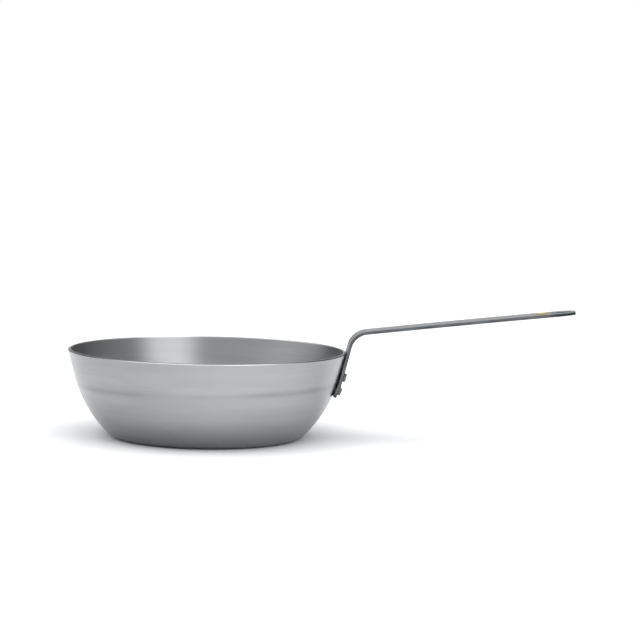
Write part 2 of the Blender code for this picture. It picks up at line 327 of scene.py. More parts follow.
def pressed_steel():
    """Bare carbon steel, pressed and lathe-polished: satin with rings, plus painted light and shade.

    The colour is laid down in layers, each over the last by its own amount. The tangent for the
    stretched highlights runs along the wall from rim to base: (place x Z axis) x normal.
    """
    material, tree, shader = new_material("carbon_steel_pressed_and_lathe_polished")
    place = node(tree, "TexCoord")["Object"]
    facing = node(tree, "NewGeometry")["Normal"]
    x, _, z = node(tree, "SeparateXYZ", (place,))
    flat = node(tree, "VectorMath", (place, (1, 1, 0)), operation="MULTIPLY")[0]
    radius = node(tree, "VectorMath", (flat,), operation="LENGTH")["Value"]
    rings, bands, patches, grain = belt_marks(tree, place, z, radius)

    # A painted highlight brightens the wall's front right side, and the belt brightens some bands
    # and patches
    toward = node(tree, "VectorMath", (flat,), operation="NORMALIZE")[0]
    side = node(tree, "VectorMath", (toward, PAINTED_HIGHLIGHT_SIDE), operation="DOT_PRODUCT")["Value"]
    mottled = node(tree, "Mix", {0: 0.4, 2: bands, 3: patches}, data_type="FLOAT")[0]
    painted_highlight = node(tree, "MapRange", (side, 0.62, 1.0, 0, 0.6))[0]
    by_patch = node(tree, "MapRange", (mottled, 0.35, 0.65, 0, 0.4))[0]
    patches_and_painted_highlight = node(tree, "Math", (painted_highlight, by_patch), operation="ADD")[0]
    streaks = node(tree, "MapRange", (rings, 0.35, 0.7, 0, 0.2))[0]

    # The outside faces down, so its normal's z is below zero; only there does the low wall get
    # painted shade
    facing_z = node(tree, "SeparateXYZ", (facing,))[2]
    outside = node(tree, "MapRange", (facing_z, -0.05, 0.05, 1, 0))[0]
    low_down = node(tree, "MapRange", (z, 0, SHADED_BELOW, 0.44, 0))[0]
    low_wall_painted_shade = node(tree, "Math", (outside, low_down), operation="MULTIPLY")[0]
    cut_base = BOWL_HEIGHT - CUT_DROP
    at_top = node(tree, "MapRange", (z, cut_base, cut_base + CUT_DROP / 4, 0, 1))[0]

    colour = linear("#949597")
    for amount, over in (
        # painted highlight on the front right side, mixed with brighter bands and patches
        (patches_and_painted_highlight, linear("#aaabac")),
        (streaks, linear("#b0b0b1")),
        # painted shade along the press's crease
        (crease_painted_shade(tree, x, z, patches), linear("#76787b")),
        # painted shade on the low outside wall
        (low_wall_painted_shade, linear("#515253")),
        # painted highlights and shade on the rim
        (at_top, rim_painted_light(tree, x, radius)),
    ):
        colour = node(tree, "Mix", {0: amount, 6: colour, 7: over}, data_type="RGBA")[2]

    ring_gloss = node(tree, "MapRange", (rings, 0.3, 0.7, 0.29, 0.335))[0]
    patch_gloss = node(tree, "MapRange", (patches, 0.35, 0.65, -0.02, 0.02))[0]
    faint_grain = node(tree, "Math", (grain, 0.15), operation="MULTIPLY")[0]
    relief = node(tree, "Math", (rings, faint_grain), operation="ADD")[0]
    around = node(tree, "VectorMath", (place, (0, 0, 1)), operation="CROSS_PRODUCT")[0]
    finish = {
        "Base Color": colour,
        "Metallic": 1.0,
        "Roughness": node(tree, "Math", (ring_gloss, patch_gloss), operation="ADD")[0],
        "Normal": node(tree, "Bump", {"Strength": 1.0, "Distance": RING_BUMP, "Height": relief})[0],
        "Anisotropic": 0.6,
        "Tangent": node(tree, "VectorMath", (around, facing), operation="CROSS_PRODUCT")[0],
    }
    fill(tree, shader, finish)
    return material


BOWL_STEEL = pressed_steel()
print("bowl steel has", len(BOWL_STEEL.node_tree.nodes), "nodes")

# %% [markdown]
# ## The bowl
# The bowl is one sheet pressed between a punch and a die: a flat base, a small corner, a long round
# belly and a straight flared wall that ends in a cut and deburred rim. It could be a Spin of a
# drawn profile. Here the profile is a formula of the distance down from the rim, carried round the
# axis as a grid. The press leaves a shallow crease near the top of the belly, and no pressed bowl
# is perfectly round, so the wall gets a wave of about a tenth of a millimetre. The wave is far too
# small to see as a shape, but it makes the reflections wander as they do on real sheet metal.

# %% Bowl profile
WALL_ROWS = 28
BASE_ROWS = 24
RIM_STEPS = 6
SHORTEST_STEP = 0.001 * MM
BELLY_X = RIM_RADIUS - STRAIGHT_WALL * math.sin(WALL_LEAN) - BELLY_RADIUS * math.cos(WALL_LEAN)
BELLY_Z = BOWL_HEIGHT - STRAIGHT_WALL * math.cos(WALL_LEAN) + BELLY_RADIUS * math.sin(WALL_LEAN)
BELLY_END = math.asin((BELLY_Z - CORNER_RADIUS) / (BELLY_RADIUS - CORNER_RADIUS))


def wall_point(down):
    """Outer wall at a distance down from the rim: radius, height and lean from the vertical.

    Straight at first, then on the belly's circle, where the lean grows by distance over radius.
    """
    down = np.asarray(down, float)
    lean = WALL_LEAN + np.maximum(down - STRAIGHT_WALL, 0) / BELLY_RADIUS
    straight = np.minimum(down, STRAIGHT_WALL)
    on_belly = down > STRAIGHT_WALL
    line_radius = RIM_RADIUS - straight * math.sin(WALL_LEAN)
    line_height = BOWL_HEIGHT - straight * math.cos(WALL_LEAN)
    radius = np.where(on_belly, BELLY_X + BELLY_RADIUS * np.cos(lean), line_radius)
    height = np.where(on_belly, BELLY_Z - BELLY_RADIUS * np.sin(lean), line_height)
    return radius, height, lean


def arc(centre, radius, first, last, count):
    """Points of an arc from one lean to another: centre + radius * (cos lean, -sin lean)."""
    lean = np.linspace(first, last, count)
    return np.array(centre) + radius * np.stack([np.cos(lean), -np.sin(lean)], axis=1)


def wall_side(inset):
    """The side from the rim to the flat base, a distance inset in from the outer face.

    A line that starts level with the rim, then the belly's arc and the corner's, with one tangent
    where the arcs meet. Points that fall together are kept once.
    """
    corner_x = BELLY_X + (BELLY_RADIUS - CORNER_RADIUS) * math.cos(BELLY_END)
    belly = arc((BELLY_X, BELLY_Z), BELLY_RADIUS - inset, WALL_LEAN, BELLY_END, 2 * WALL_ROWS)
    corner_place = (corner_x, CORNER_RADIUS)
    corner = arc(corner_place, CORNER_RADIUS - inset, BELLY_END, math.pi / 2, WALL_ROWS)
    top = np.array([RIM_RADIUS - inset / math.cos(WALL_LEAN), BOWL_HEIGHT])
    line = top + (belly[0] - top) * np.linspace(0, 1, WALL_ROWS)[:, None]
    side = np.concatenate([line[:-1], belly, corner])
    steps = np.linalg.norm(np.diff(side, axis=0), axis=1)
    return side[np.concatenate([[True], steps > SHORTEST_STEP])]


def bowl_profile():
    """From the middle of the underside, out and up the wall, over the rim and back down inside.

    The rim is cut square to the sheet, so it slopes down outwards by the wall's lean.
    """
    outer, inner = wall_side(0), wall_side(SHEET)
    across_sheet = SHEET * np.array([math.cos(WALL_LEAN), -math.sin(WALL_LEAN)])
    cut = [outer[2], inner[0] + across_sheet, inner[0], inner[2]]
    rim = eased(cut, [RIM_OUTER_EASE, RIM_INNER_EASE], RIM_STEPS)[1:-1]
    base = outer[-1, 0] * np.linspace(0, 1, BASE_ROWS)[:-1]
    under = np.stack([base, 0 * base], axis=1)
    inside = np.stack([base[::-1], 0 * base + SHEET], axis=1)
    return np.concatenate([under, outer[:1:-1], rim, inner[2:], inside])


BOWL = bowl_profile()
print("bowl profile has", len(BOWL), "points, widest", round(BOWL[:, 0].max() / MM, 2), "mm")

# %% Bowl surface
BOWL_SEGMENTS = 320
# Each wave: how many times round the wall, depth in mm and phase
WALL_WAVES = ((2, 0.030, 0.4), (3, 0.040, 1.9), (5, 0.025, 4.4), (8, 0.012, 2.7), (13, 0.006, 0.9))
CREASE_DEPTH = 0.10 * MM
CREASE_WIDTH = 1.6 * MM


def bowl_surface():
    """The turned profile, moved in along the radius by the waves and by the crease.

    Waves: the sum of depth * (1 + cos(n * angle + phase)) / 2, growing with height squared.
    Crease: a bell curve of the height above or below the crease's line.
    """
    grid = turned(BOWL, BOWL_SEGMENTS)
    radius = np.linalg.norm(grid[..., :2], axis=-1)
    angle = np.arctan2(grid[..., 1], grid[..., 0])
    rise = (grid[..., 2] / BOWL_HEIGHT).clip(0, 1) ** 2
    wave = sum(depth * MM * (1 + np.cos(n * angle + phase)) / 2 for n, depth, phase in WALL_WAVES)
    crease_at = CREASE_HEIGHT + CREASE_TILT * np.cos(angle)
    crease = CREASE_DEPTH * np.exp(-(((grid[..., 2] - crease_at) / CREASE_WIDTH) ** 2))
    scale = 1 - (wave * rise + crease) / np.maximum(radius, SHEET)
    scale = np.where(radius > RIM_RADIUS / 2, scale, 1)
    grid[..., :2] *= scale[..., None]
    grid[:, -1] = grid[:, 0]
    return grid


bowl = piece_from_grids("pan_bowl", [bowl_surface()], BOWL_STEEL)
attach(bowl, "root")
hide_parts("pan_body")

# %% [markdown]
# ## The strap's steel
# The handle is cut from 3 mm steel strip with a punch and bent in a press. Its faces keep the long,
# fine grain that the rolling mill left. Its sheared edges are rougher and darker, and round the tip
# and the slot they also get painted shade. A pattern on the object's own coordinates would slide as
# the strip bends, so each point carries its place on the flat blank: distance along, distance across
# and depth. The grain is noise stretched along the first.

# %% Sheared and bent strip steel
GRAIN_WIDTH = 1.1 * MM
GRAIN_LENGTH = 45 * MM
STAIN_SIZE = 18 * MM
STRIP_BUMP = 0.012 * MM
# Between these x positions the edges round the slot and the tip darken with painted shade
TIP_EDGE_SHADE = (342 * MM, 352 * MM)


def strip_steel():
    """Carbon steel strip, rolled, sheared and bent: satin faces with long grain, dull edges.

    The amount of cut edge is an attribute too: 1 on the sheared metal, 0 on the faces.
    """
    material, tree, shader = new_material("carbon_steel_strip_sheared_and_bent")
    blank, cut = (
        node(tree, "Attribute", attribute_name=label, attribute_type="GEOMETRY")["Vector"]
        for label in ("blank", "cut")
    )
    on_edge = node(tree, "SeparateXYZ", (cut,))[0]
    stretch = (1 / GRAIN_LENGTH, 1 / GRAIN_WIDTH, 1 / GRAIN_WIDTH)
    grain_place = node(tree, "VectorMath", (blank, stretch), operation="MULTIPLY")[0]
    grain_kind = {"Vector": grain_place, "Scale": 1, "Detail": 3, "Roughness": 0.6}
    grain = node(tree, "TexNoise", grain_kind)[0]
    stains = node(tree, "TexNoise", {"Vector": blank, "Scale": 1 / STAIN_SIZE, "Detail": 4})[0]

    by_grain = node(tree, "MapRange", (grain, 0.35, 0.7, 0, 1))[0]
    by_stain = node(tree, "MapRange", (stains, 0.35, 0.65, 0, 1))[0]
    face_tones = {0: by_grain, 6: linear("#919395"), 7: linear("#a0a3a5")}
    edge_tones = {0: by_stain, 6: linear("#5a5c5e"), 7: linear("#747678")}
    face = node(tree, "Mix", face_tones, data_type="RGBA")[2]
    edge = node(tree, "Mix", edge_tones, data_type="RGBA")[2]
    x = node(tree, "SeparateXYZ", (node(tree, "TexCoord")["Object"],))[0]
    # Painted shade on the edges round the slot and the tip
    tip_shade_amount = node(tree, "MapRange", (x, *TIP_EDGE_SHADE, 0, 0.75))[0]
    tip_shade_tones = {0: tip_shade_amount, 6: edge, 7: linear("#1e1f20")}
    tip_shaded_edge = node(tree, "Mix", tip_shade_tones, data_type="RGBA")[2]

    face_gloss = node(tree, "MapRange", (grain, 0.3, 0.7, 0.32, 0.40))[0]
    edge_gloss = node(tree, "Math", (on_edge, 0.14), operation="MULTIPLY")[0]
    low_stains = node(tree, "Math", (stains, 0.5), operation="MULTIPLY")[0]
    relief = node(tree, "Math", (grain, low_stains), operation="ADD")[0]
    bump = {"Strength": 1.0, "Distance": STRIP_BUMP, "Height": relief}
    finish = {
        "Base Color": node(tree, "Mix", {0: on_edge, 6: face, 7: tip_shaded_edge}, data_type="RGBA")[2],
        "Metallic": 1.0,
        "Roughness": node(tree, "Math", (face_gloss, edge_gloss), operation="ADD")[0],
        "Normal": node(tree, "Bump", bump)[0],
    }
    fill(tree, shader, finish)
    return material


STRIP_STEEL = strip_steel()
print("strip steel has", len(STRIP_STEEL.node_tree.nodes), "nodes")

# %% [markdown]
# ## The strap's path
# The blank is flat when it is punched, and the press then bends it. The model does the same in one
# step: it works out the blank in flat coordinates (distance, across, depth) and then carries each
# point to where the bent strip holds it. A Curve Deform modifier could bend it too, but a formula
# keeps the leg exactly along the wall. The path has three parts: a leg that follows the wall's side
# view, a round bend and a long arm with a very slight crown.

# %% Strap path
GAP = 0.3 * MM
STRAP = 3.0 * MM
LEG_ON_WALL = 46.0 * MM
LEG_ABOVE_RIM = 6.5 * MM
BEND_INSIDE_RADIUS = 18.0 * MM
ARM_START_RISE = math.radians(6.7)
ARM_CROWN_RADIUS = 20.0  # metres, so the arm is very nearly straight
TIP_REACH = 371.5 * MM
UPPER_RIVET_DOWN = 26.1 * MM
LOWER_RIVET_DOWN = 39.0 * MM
LOWER_RIVET_ASIDE = 13.0 * MM
FOOT_CURL = 0.35  # how far the foot's lower end follows the wall's curve, from 0 to 1
LEG_STEPS, BEND_STEPS, ARM_STEPS = 93, 61, 121


def strap_path():
    """Samples of the strip's bowl-side face: distance, x, z, angle of travel and plan curvature."""
    down = np.linspace(LEG_ON_WALL, 0, LEG_STEPS)
    radius, height, lean = wall_point(down)
    share = (down - UPPER_RIVET_DOWN).clip(0) / (LEG_ON_WALL - UPPER_RIVET_DOWN)
    leg = [
        LEG_ON_WALL - down,
        radius + GAP * np.cos(lean),
        height - GAP * np.sin(lean),
        math.pi / 2 - lean,
        FOOT_CURL * share / radius,
    ]
    start = math.pi / 2 - WALL_LEAN
    top = [
        leg[1][-1] + LEG_ABOVE_RIM * math.cos(start),
        leg[2][-1] + LEG_ABOVE_RIM * math.sin(start),
    ]
    bend_radius = BEND_INSIDE_RADIUS + STRAP
    angle = np.linspace(start, ARM_START_RISE, BEND_STEPS)
    turn = start - angle
    bend = [
        LEG_ON_WALL + LEG_ABOVE_RIM + bend_radius * turn,
        top[0] + bend_radius * (math.sin(start) - np.sin(angle)),
        top[1] + bend_radius * (np.cos(angle) - math.cos(start)),
        angle,
        0 * angle,
    ]
    first_x, first_z = bend[1][-1], bend[2][-1]
    last = math.asin(math.sin(ARM_START_RISE) - (TIP_REACH - first_x) / ARM_CROWN_RADIUS)
    angle = np.linspace(ARM_START_RISE, last, ARM_STEPS)[1:]
    arm = [
        bend[0][-1] + ARM_CROWN_RADIUS * (ARM_START_RISE - angle),
        first_x + ARM_CROWN_RADIUS * (math.sin(ARM_START_RISE) - np.sin(angle)),
        first_z + ARM_CROWN_RADIUS * (np.cos(angle) - math.cos(ARM_START_RISE)),
        angle,
        0 * angle,
    ]
    return np.concatenate([np.stack(leg), np.stack(bend), np.stack(arm)], axis=1)


PATH = strap_path()
STRAP_LENGTH = PATH[0, -1]
print("the blank is", round(STRAP_LENGTH / MM, 1), "mm long")


def bend_blank(blank):
    """Blank coordinates to the bent strip.

    Point = path(distance) + depth * (sin angle, 0, -cos angle), less the fall of the curled foot,
    which is curvature * across^2 / 2.
    """
    distance, across, depth = blank[..., 0], blank[..., 1], blank[..., 2]
    x, z, angle, curvature = (np.interp(distance, PATH[0], row) for row in PATH[1:])
    bent_x = x + depth * np.sin(angle) - curvature * across**2 / 2
    return np.stack([bent_x, across, z - depth * np.cos(angle)], axis=-1)


# %% [markdown]
# ## The blank's outline and holes
# A punch cuts the blank with a wide foot, a long taper, a round end, a hanging slot, a hole for the
# inlay and three rivet holes. One way is to cut holes with Booleans and then bevel the edges. Here
# the flat face is a grid of rows and columns, and each hole takes the place of a block of cells:
# rings join the block's outline to the hole's outline. That gives clean eased edges everywhere,
# which catch the light as filed edges do.

# %% Blank outline
FOOT_HALF_WIDTH = 24.0 * MM
ARM_HALF_WIDTH = 14.8 * MM
TAPER_LENGTH = 56.0 * MM
TAPER_POWER = 1.15
FOOT_CORNER = 6.0 * MM
EDGE_EASE = 0.6 * MM
EDGE_HOLD = 0.25 * MM
COLUMNS = 25
CORNER_ROWS, LEG_ROWS, BEND_ROWS, ARM_ROWS, END_ROWS, TIP_ROWS = 9, 33, 33, 41, 25, 25
END_LENGTH = 42 * MM  # the last stretch, where the inlay and the slot need close rows


def half_width(distance):
    """Half the width: arm + flare * (1 - distance / taper length)^power, rounded at both ends."""
    taper = (1 - distance / TAPER_LENGTH).clip(0) ** TAPER_POWER
    width = ARM_HALF_WIDTH + (FOOT_HALF_WIDTH - ARM_HALF_WIDTH) * taper
    short = (FOOT_CORNER - distance).clip(0)
    width = width - FOOT_CORNER + np.sqrt(FOOT_CORNER**2 - short**2)
    past = (distance - (STRAP_LENGTH - ARM_HALF_WIDTH)).clip(0, ARM_HALF_WIDTH)
    return np.where(past > 0, np.sqrt(ARM_HALF_WIDTH**2 - past**2), width)


def row_distances():
    """Distances of the rows: close at the foot, the bend and the holes.

    They follow a quarter cosine in the foot's corner and a quarter sine in the tip, so that the
    points lie evenly round both curves.
    """
    corner = FOOT_CORNER * (1 - np.cos(np.linspace(0, math.pi / 2, CORNER_ROWS)))
    bend_start = LEG_ON_WALL + LEG_ABOVE_RIM
    bend_turn = math.pi / 2 - WALL_LEAN - ARM_START_RISE
    bend_end = bend_start + (BEND_INSIDE_RADIUS + STRAP) * bend_turn
    end_start, tip_start = STRAP_LENGTH - END_LENGTH, STRAP_LENGTH - ARM_HALF_WIDTH
    foot = np.linspace(FOOT_CORNER, bend_start, LEG_ROWS)[1:]
    bend = np.linspace(bend_start, bend_end, BEND_ROWS)[1:]
    arm = np.linspace(bend_end, end_start, ARM_ROWS)[1:]
    end = np.linspace(end_start, tip_start, END_ROWS)[1:]
    tip = tip_start + ARM_HALF_WIDTH * np.sin(np.linspace(0, math.pi / 2, TIP_ROWS))[1:]
    return np.concatenate([corner, foot, bend, arm, end, tip])


ROWS = row_distances()
WIDTHS = half_width(ROWS)
print("foot", round(2 * WIDTHS.max() / MM, 1), "mm wide, rows", len(ROWS))


def outline():
    """The blank's outline, round one side and back on the other, with its outward normals.

    The foot's straight end is the first row, so its points are that row's columns.
    """
    columns = np.linspace(-1, 1, COLUMNS)
    foot_end = np.stack([0 * columns + ROWS[0], columns * WIDTHS[0]], axis=1)
    one_side = np.stack([ROWS[1:], WIDTHS[1:]], axis=1)
    other_side = one_side[-2::-1] * np.array([1, -1])
    loop = np.concatenate([foot_end, one_side, other_side])
    along = np.roll(loop, -1, axis=0) - np.roll(loop, 1, axis=0)
    normal = np.stack([along[:, 1], -along[:, 0]], axis=1)
    return loop, normal / np.linalg.norm(normal, axis=1, keepdims=True)


LOOP, LOOP_NORMAL = outline()
print("the outline has", len(LOOP), "points")

# %% Eased edges
EASE_POINTS = 5


def edge_section():
    """Section of a cut edge from face to face: (distance in from the outline, depth).

    Flat in the middle, with a quarter round at each face: ease * (1 - sin turn, 1 - cos turn).
    """
    turn = np.linspace(0, math.pi / 2, EASE_POINTS)
    first = np.stack([EDGE_EASE * (1 - np.sin(turn)), EDGE_EASE * (1 - np.cos(turn))], axis=1)
    last = first[::-1] * np.array([1, -1]) + np.array([0, STRAP])
    middle = np.linspace(EDGE_EASE, STRAP - EDGE_EASE, EASE_POINTS)[1:-1]
    side = np.stack([0 * middle, middle], axis=1)
    hold = np.array([[EDGE_EASE + EDGE_HOLD, 0], [EDGE_EASE + EDGE_HOLD, STRAP]])
    return np.concatenate([hold[:1], first, side, last, hold[1:]])


SECTION = edge_section()


def edge_band(loop, normal):
    """The cut edge as a grid: loop point less normal * inset, at the section's depth."""
    place = loop[None] - normal[None] * SECTION[:, None, :1]
    depth = np.broadcast_to(SECTION[:, None, 1:], (len(SECTION), len(loop), 1))
    return closed_loop(np.concatenate([place, depth], axis=-1))


# %% Faces and holes


def face_grid():
    """Rows and columns of the flat face inside the eased edge, as (distance, across)."""
    inner = LOOP - LOOP_NORMAL * (EDGE_EASE + EDGE_HOLD)
    first_row = inner[:COLUMNS]
    side = inner[COLUMNS : COLUMNS + len(ROWS) - 1]
    columns = np.linspace(-1, 1, COLUMNS)[None, :]
    rows = np.stack([side[:, :1] + 0 * columns, side[:, 1:] * columns], axis=-1)
    return np.concatenate([first_row[None], rows])


FACE = face_grid()


def hole_outline(centre, half_run, radius, toward):
    """Points where lines from the centre cross a round-ended slot, with the slot's inward normals.

    The slot is all points at the radius from a middle line of length 2 * half_run. Along a
    direction (c, s) the straight sides are crossed at radius / |s|, and the round ends at
    h |c| + sqrt(radius^2 - h^2 s^2), where h is half_run.
    """
    direction = toward - centre
    direction = direction / np.linalg.norm(direction, axis=1, keepdims=True)
    c, s = np.abs(direction[:, 0]), np.abs(direction[:, 1])
    to_side = radius / np.maximum(s, 1e-9)
    on_side = to_side * c <= half_run
    to_end = half_run * c + np.sqrt((radius**2 - (half_run * s) ** 2).clip(0))
    reach = np.where(on_side, to_side, to_end)
    points = centre + direction * reach[:, None]
    along = (points[:, 0] - centre[0]).clip(-half_run, half_run)
    normal = centre + np.stack([along, 0 * along], axis=1) - points
    return points, normal / np.linalg.norm(normal, axis=1, keepdims=True)


def block_loop(rows, columns):
    """The outline of a block of the face's cells, once round."""
    (r0, r1), (c0, c1) = rows, columns
    sides = [FACE[r0, c0:c1], FACE[r0:r1, c1], FACE[r1, c1:c0:-1], FACE[r1:r0:-1, c0]]
    return np.concatenate(sides)


def row_at(distance):
    """Number of the face's row that lies nearest to a distance along the blank."""
    return int(np.abs(FACE[:, 0, 0] - distance).argmin())


def distance_at(reach):
    """Distance along the blank at which the bent face is above x = reach."""
    arm = PATH[0] > LEG_ON_WALL + LEG_ABOVE_RIM
    return float(np.interp(reach, PATH[1][arm], PATH[0][arm]))


# %% Where the holes go
SLOT_START = distance_at(346.6 * MM)
SLOT_END = distance_at(366.6 * MM)
SLOT_RADIUS = 5.5 * MM
INLAY_AT = distance_at(337.7 * MM)
INLAY_HOLE = 5.0 * MM
SHANK_RADIUS = 2.5 * MM
SLOT_MIDDLE = (SLOT_START + SLOT_END) / 2
SLOT_HALF_RUN = (SLOT_END - SLOT_START) / 2 - SLOT_RADIUS
LOWER_AT = LEG_ON_WALL - LOWER_RIVET_DOWN
UPPER_AT = LEG_ON_WALL - UPPER_RIVET_DOWN

INLAY_ROWS = (INLAY_AT - 7 * MM, INLAY_AT + 7.2 * MM)
SLOT_ROWS = (INLAY_ROWS[1], STRAP_LENGTH - 2.0 * MM)
HOLE_RINGS = 7
CUT_REACH = 0.18 * MM  # how far in from the outline the dark sheared metal fades out

# Each hole: centre, half run, radius, the stretch of rows it takes and the columns it takes
HOLES = [
    ((LOWER_AT, -LOWER_RIVET_ASIDE), 0, SHANK_RADIUS, (1.5 * MM, 12.5 * MM), (1, 10)),
    ((LOWER_AT, LOWER_RIVET_ASIDE), 0, SHANK_RADIUS, (1.5 * MM, 12.5 * MM), (14, 23)),
    ((UPPER_AT, 0), 0, SHANK_RADIUS, (14 * MM, 26 * MM), (7, 17)),
    ((INLAY_AT, 0), 0, INLAY_HOLE, INLAY_ROWS, (3, 21)),
    ((SLOT_MIDDLE, 0), SLOT_HALF_RUN, SLOT_RADIUS, SLOT_ROWS, (3, 21)),
]


def flat_faces():
    """The cells that no hole takes, the rings round each hole and each hole's cut edge.

    Ring point = hole's edge * (1 - share) + block's outline * share.
    """
    open_cells = np.ones((FACE.shape[0] - 1, COLUMNS - 1), bool)
    share = np.linspace(0, 1, HOLE_RINGS)[:, None, None]
    grids, bands = [], []
    for centre, half_run, radius, (low, high), (c0, c1) in HOLES:
        r0, r1 = row_at(low), row_at(high)
        open_cells[r0:r1, c0:c1] = False
        around = block_loop((r0, r1), (c0, c1))
        edge, normal = hole_outline(np.array(centre), half_run, radius, around)
        inner = edge - normal * (EDGE_EASE + EDGE_HOLD)
        grids.append(closed_loop(inner[None] * (1 - share) + around[None] * share))
        bands.append(edge_band(edge, normal))
    return open_cells, grids, bands


def cell_runs(open_cells):
    """Splits the face into the strips of cells that no hole has taken, one grid for each."""
    runs = []
    for row, cells in enumerate(open_cells):
        edges = np.flatnonzero(np.diff(np.concatenate([[False], cells, [False]]).astype(int)))
        runs += [FACE[row : row + 2, a : b + 1] for a, b in zip(edges[::2], edges[1::2])]
    return runs


def strap_grids():
    """All grids of the blank in (distance, across, depth), and how much each point is cut edge."""
    open_cells, rings, bands = flat_faces()
    flat = cell_runs(open_cells) + rings
    faces = [
        np.concatenate([grid, np.full(grid.shape[:2] + (1,), depth)], axis=-1)
        for depth in (0.0, STRAP)
        for grid in flat
    ]
    edges = [edge_band(LOOP, LOOP_NORMAL)] + bands
    amount = (1 - SECTION[:, 0] / CUT_REACH).clip(0, 1)
    cut = [np.zeros(grid.shape) for grid in faces]
    cut += [np.broadcast_to(amount[:, None, None], band.shape) for band in edges]
    return faces + edges, cut


BLANK_GRIDS, CUT_AMOUNT = strap_grids()
print("the blank is made of", len(BLANK_GRIDS), "grids")

# %% Strap piece
strap = piece_from_grids(
    "strap_handle",
    [bend_blank(grid) for grid in BLANK_GRIDS],
    STRIP_STEEL,
    {"blank": BLANK_GRIDS, "cut": CUT_AMOUNT},
)
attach(strap, "root")
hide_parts("handle_strap")

# %% [markdown]
# ## The rivets
# Solid steel rivets go through both sheets. Inside the bowl each has a low, smooth dome, so that
# food and a spatula slide over it. Outside, the end of the shank is upset into a stubby button with
# a chamfered rim. A sphere and a cylinder could be joined for each, but a turned profile gives one
# closed solid with eased corners. It is placed on an axis halfway between the wall's direction and
# the strap's. The steel is dull and finely pitted, because it is cold-headed and then only tumbled
# clean.

# %% Cold-headed rivet steel
PIT_SIZE = 0.9 * MM
PIT_BUMP = 0.04 * MM
RIVET_TONE_SIZE = 5 * MM


def rivet_steel():
    """Plain steel, cold-headed and tumbled: dull, dark and softly glinting, with fine pits."""
    material, tree, shader = new_material("carbon_steel_cold_headed")
    place = node(tree, "TexCoord")["Object"]
    pits = node(tree, "TexNoise", {"Vector": place, "Scale": 1 / PIT_SIZE, "Detail": 3})[0]
    cloud = node(tree, "TexNoise", {"Vector": place, "Scale": 1 / RIVET_TONE_SIZE, "Detail": 2})[0]
    amount = node(tree, "MapRange", (cloud, 0.35, 0.65, 0, 1))[0]
    tones = {0: amount, 6: linear("#636668"), 7: linear("#838687")}
    finish = {
        "Base Color": node(tree, "Mix", tones, data_type="RGBA")[2],
        "Metallic": 1.0,
        "Roughness": node(tree, "MapRange", (pits, 0.3, 0.7, 0.34, 0.5))[0],
        "Normal": node(tree, "Bump", {"Strength": 1.0, "Distance": PIT_BUMP, "Height": pits})[0],
    }
    fill(tree, shader, finish)
    return material


RIVET_STEEL = rivet_steel()
print("rivet steel has", len(RIVET_STEEL.node_tree.nodes), "nodes")

# %% Rivets
DOME_RADIUS = 5.5 * MM
DOME_HEIGHT = 1.9 * MM
DOME_FULLNESS = 1.2
DOME_ROWS = 9
DOME_SEAT = 0.02 * MM
BUTTON_CHAMFER = 0.9 * MM
RIVET_EASE = 0.3 * MM
RIVET_SEGMENTS = 72
UPPER_BUTTON = (4.4 * MM, 3.7 * MM)
LOWER_BUTTON = (3.9 * MM, 2.5 * MM)
RIVETS = {
    "rivet_upper": (UPPER_RIVET_DOWN, 0.0, UPPER_BUTTON),
    "rivet_lower_front": (LOWER_RIVET_DOWN, -LOWER_RIVET_ASIDE, LOWER_BUTTON),
    "rivet_lower_rear": (LOWER_RIVET_DOWN, LOWER_RIVET_ASIDE, LOWER_BUTTON),
}


def rivet_profile(button, standoff, tilt):
    """Dome inside, shank through both sheets, button outside, as (radius, height along the axis).

    The dome falls by height * sqrt(1 - d^2)^fullness at the share d of its radius. The seats reach
    past the faces by the tilt, so that no slit shows.
    """
    button_radius, button_height = button
    inner = -(SHEET + DOME_SEAT)
    outer = standoff + STRAP
    d = np.sin(np.linspace(0, math.pi / 2, DOME_ROWS)[:-1])
    fall = DOME_HEIGHT * np.sqrt(1 - d**2) ** DOME_FULLNESS
    dome = np.stack([DOME_RADIUS * d, inner - fall], axis=1)
    top = outer + GAP + tilt + button_height
    corners = [
        (DOME_RADIUS, inner + tilt),
        (SHANK_RADIUS, inner + tilt),
        (SHANK_RADIUS, outer - tilt / 2),
        (button_radius, outer - tilt / 2),
        (button_radius, top - BUTTON_CHAMFER),
        (button_radius - BUTTON_CHAMFER, top),
        (0, top),
    ]
    return np.concatenate([dome, eased([dome[-1]] + corners, RIVET_EASE, 3)[1:]])


def rivet(name, down, aside, button):
    """One rivet on its axis, which points halfway between the wall's normal and the strap's.

    The wall falls away from the strap's middle by aside^2 / (2 * radius), and so does the axis's
    foot. The curled foot of the strap falls by its own share of that.
    """
    radius, height, lean = (float(value) for value in wall_point(down))
    turn = math.asin(aside / radius) / 2
    level = math.cos(lean)
    outward = Vector((math.cos(turn) * level, math.sin(turn) * level, -math.sin(lean)))
    fall = aside**2 / (2 * radius)
    facing = outward.to_track_quat("Z", "Y").to_matrix().to_4x4()
    seat = Matrix.Translation(Vector((radius - fall, aside, height))) @ facing
    share = max(down - UPPER_RIVET_DOWN, 0) / (LEG_ON_WALL - UPPER_RIVET_DOWN)
    foot_fall = FOOT_CURL * share / radius * aside**2 / 2
    standoff = GAP + (fall - foot_fall) * level
    tilt = button[0] * abs(math.tan(turn))
    grid = turned(rivet_profile(button, standoff, tilt), RIVET_SEGMENTS)
    label = name.replace("rivet", "steel_rivet")
    made = piece_from_grids(label, [seated(grid, seat)], RIVET_STEEL)
    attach(made, "root")
    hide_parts(name)


for name, (down, aside, button) in RIVETS.items():
    rivet(name, down, aside, button)

# %% [markdown]
# ## The inlay
# A small yellow disc sits in a round hole just before the hanging slot. The real ones are moulded
# in a rubbery resin that is pressed in from the top and grips both faces with a thin flange. A
# squashed cylinder would do from afar. A turned profile also gives the flange, the slightly crowned
# face and the shallow ring near its edge. It stands on the arm's top face, so its frame comes from
# the path.

# %% Moulded yellow resin
CLOUD_SIZE = 3 * MM
CLOUD_BUMP = 0.03 * MM


